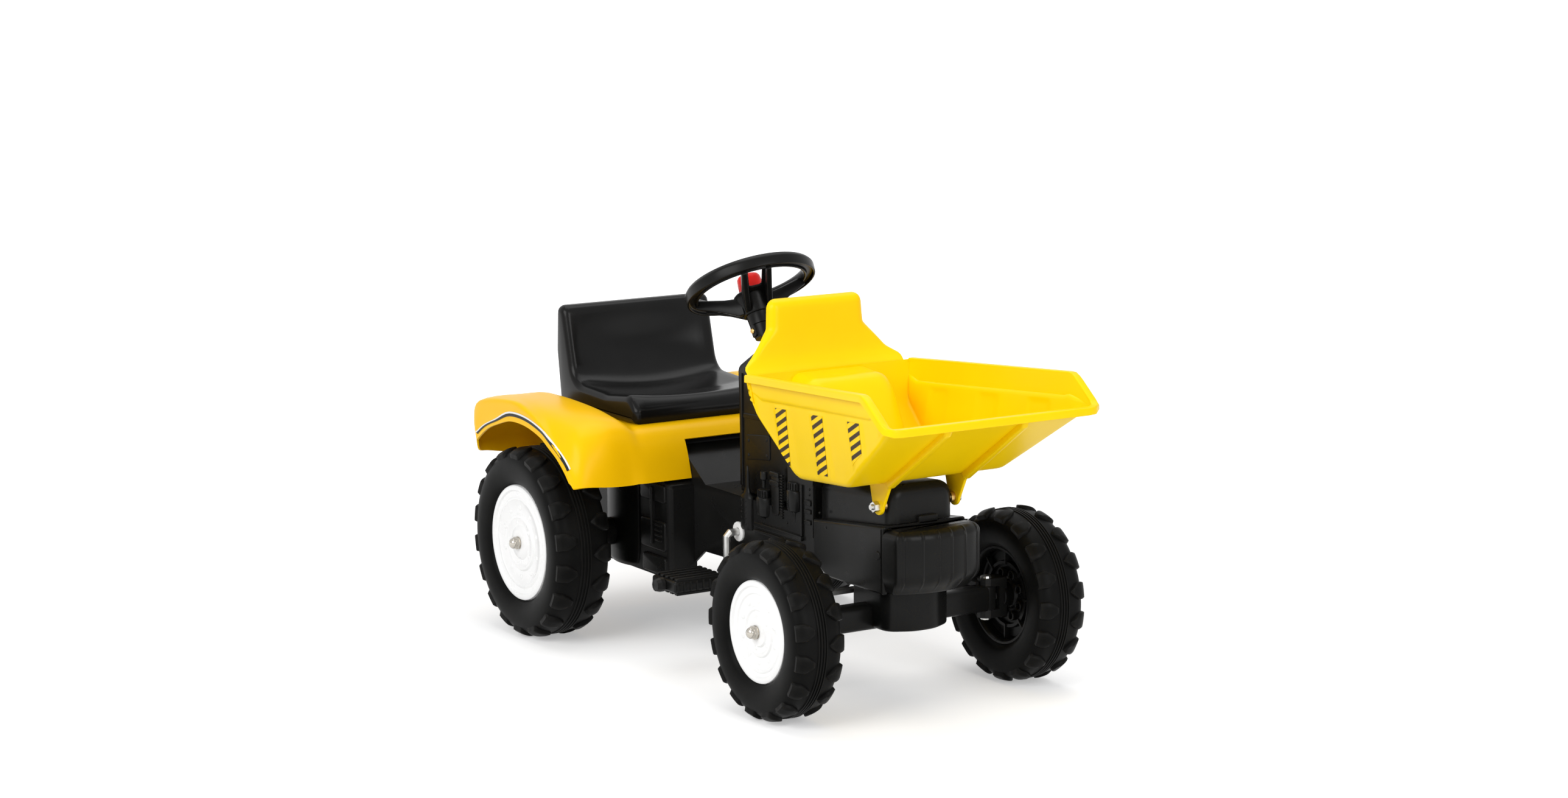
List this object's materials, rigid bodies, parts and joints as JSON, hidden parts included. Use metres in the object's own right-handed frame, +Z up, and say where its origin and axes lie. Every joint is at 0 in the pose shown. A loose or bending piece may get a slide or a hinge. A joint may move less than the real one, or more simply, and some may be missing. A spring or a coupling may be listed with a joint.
{
  "type": "pedal ride-on with tipping bucket",
  "caption": "Child's pedal ride-on with a tipping front bucket, steered front wheels, chain drive to the rear axle, seat and wing cowl.",
  "frame": {"origin": "on the ground, under the middle of the whole object's box", "axes": "+X forward, +Y to the rider's left, +Z up"},
  "size_m": [1.0725, 0.5968, 0.6155],
  "materials": {
    "yellow_plastic": "smooth moulded plastic, satin gloss",
    "black_plastic": "fine-grained moulded plastic",
    "gloss_black": "glossy moulded plastic",
    "tyre_black": "blow-moulded plastic tyre, satin",
    "white_plastic": "smooth white plastic",
    "red_plastic": "smooth red plastic",
    "zinc_steel": "zinc-plated steel",
    "chrome": "bright plated cap nut",
    "brass": "yellow-passivated bush and screw"
  },
  "bodies": {
    "frame": {"chassis": "black_plastic", "engine_cover": "black_plastic", "front_bumper": "black_plastic", "dash_column": "black_plastic", "column_bush": "black_plastic", "rear_cowl": "yellow_plastic", "seat": "gloss_black", "seat_bolt_left": "zinc_steel", "seat_bolt_right": "zinc_steel", "front_axle_beam": "black_plastic", "axle_bolt": "zinc_steel", "kingpin_left": "zinc_steel", "kingpin_right": "zinc_steel", "axle_bush_left": "white_plastic", "axle_bush_right": "white_plastic", "crank_bush_left": "white_plastic", "crank_bush_right": "white_plastic", "pivot_rod": "zinc_steel", "pivot_nut": "zinc_steel", "pivot_spacer_left": "brass", "pivot_spacer_right": "brass", "drive_chain": "zinc_steel"},
    "tipper": {"bucket": "yellow_plastic"},
    "steering": {"steering_wheel": "black_plastic", "steering_shaft": "zinc_steel", "wheel_screw": "brass"},
    "horn": {"horn_button": "red_plastic"},
    "steer_left": {"knuckle_left": "black_plastic", "stub_axle_left": "zinc_steel"},
    "steer_right": {"knuckle_right": "black_plastic", "stub_axle_right": "zinc_steel"},
    "steer_link": {"tie_rod": "zinc_steel"},
    "front_roll_left": {"front_tyre_left": "tyre_black", "front_wheel_left": "black_plastic", "front_disc_left": "white_plastic", "front_cap_nut_left": "chrome"},
    "front_roll_right": {"front_tyre_right": "tyre_black", "front_wheel_right": "black_plastic", "front_disc_right": "white_plastic", "front_cap_nut_right": "chrome"},
    "drive_axle": {"rear_axle": "zinc_steel", "rear_sprocket": "zinc_steel", "rear_tyre_right": "tyre_black", "rear_wheel_right": "black_plastic", "rear_disc_right": "white_plastic", "rear_cap_nut_right": "chrome"},
    "rear_roll_left": {"rear_tyre_left": "tyre_black", "rear_wheel_left": "black_plastic", "rear_disc_left": "white_plastic", "rear_cap_nut_left": "chrome"},
    "crankset": {"crank": "zinc_steel", "crank_sprocket": "zinc_steel", "pedal_cap_left": "black_plastic", "pedal_cap_right": "black_plastic"},
    "pedal_roll_left": {"pedal_left": "black_plastic"},
    "pedal_roll_right": {"pedal_right": "black_plastic"}
  },
  "joints": [
    {"name": "bucket_tip", "type": "hinge", "parent": "frame", "child": "tipper", "pos_m": [0.345, 0, 0.298], "axis": [0, 1, 0], "range_deg": [0, 55]},
    {"name": "steering_turn", "type": "hinge", "parent": "frame", "child": "steering", "pos_m": [-0.108, 0, 0.56], "axis": [-0.5, 0, 0.866], "range_deg": [-40, 40]},
    {"name": "horn_press", "type": "slide", "parent": "steering", "child": "horn", "axis": [0.5, 0, -0.866], "range_m": [0, 0.003], "stiffness_N_per_m": 400},
    {"name": "knuckle_left_turn", "type": "hinge", "parent": "frame", "child": "steer_left", "pos_m": [0.295, 0.155, 0.129], "axis": [0, 0, 1], "range_deg": [-25, 25]},
    {"name": "knuckle_right_turn", "type": "hinge", "parent": "frame", "child": "steer_right", "pos_m": [0.295, -0.155, 0.129], "axis": [0, 0, 1], "range_deg": [-25, 25]},
    {"name": "tie_rod_shift", "type": "slide", "parent": "frame", "child": "steer_link", "axis": [0, -1, 0], "range_m": [-0.0215, 0.0215]},
    {"name": "front_left_roll", "type": "hinge", "parent": "steer_left", "child": "front_roll_left", "pos_m": [0.295, 0.207, 0.129], "axis": [0, 1, 0], "continuous": true},
    {"name": "front_right_roll", "type": "hinge", "parent": "steer_right", "child": "front_roll_right", "pos_m": [0.295, -0.207, 0.129], "axis": [0, 1, 0], "continuous": true},
    {"name": "drive_axle_turn", "type": "hinge", "parent": "frame", "child": "drive_axle", "pos_m": [-0.336, -0.245, 0.15], "axis": [0, 1, 0], "continuous": true},
    {"name": "rear_left_roll", "type": "hinge", "parent": "frame", "child": "rear_roll_left", "pos_m": [-0.336, 0.245, 0.15], "axis": [0, 1, 0], "continuous": true},
    {"name": "crank_turn", "type": "hinge", "parent": "frame", "child": "crankset", "pos_m": [-0.036, 0, 0.195], "axis": [0, 1, 0], "continuous": true},
    {"name": "pedal_left_turn", "type": "hinge", "parent": "crankset", "child": "pedal_roll_left", "pos_m": [-0.036, 0.155, 0.26], "axis": [0, 1, 0], "continuous": true},
    {"name": "pedal_right_turn", "type": "hinge", "parent": "crankset", "child": "pedal_roll_right", "pos_m": [-0.036, -0.155, 0.13], "axis": [0, 1, 0], "continuous": true}
  ],
  "couplings": [
    {"joint": "knuckle_left_turn", "follows": "steering_turn", "ratio": 0.625},
    {"joint": "knuckle_right_turn", "follows": "steering_turn", "ratio": 0.625},
    {"joint": "tie_rod_shift", "follows": "steering_turn", "m_per_rad": 0.0303},
    {"joint": "crank_turn", "follows": "drive_axle_turn", "ratio": 0.6875}
  ]
}
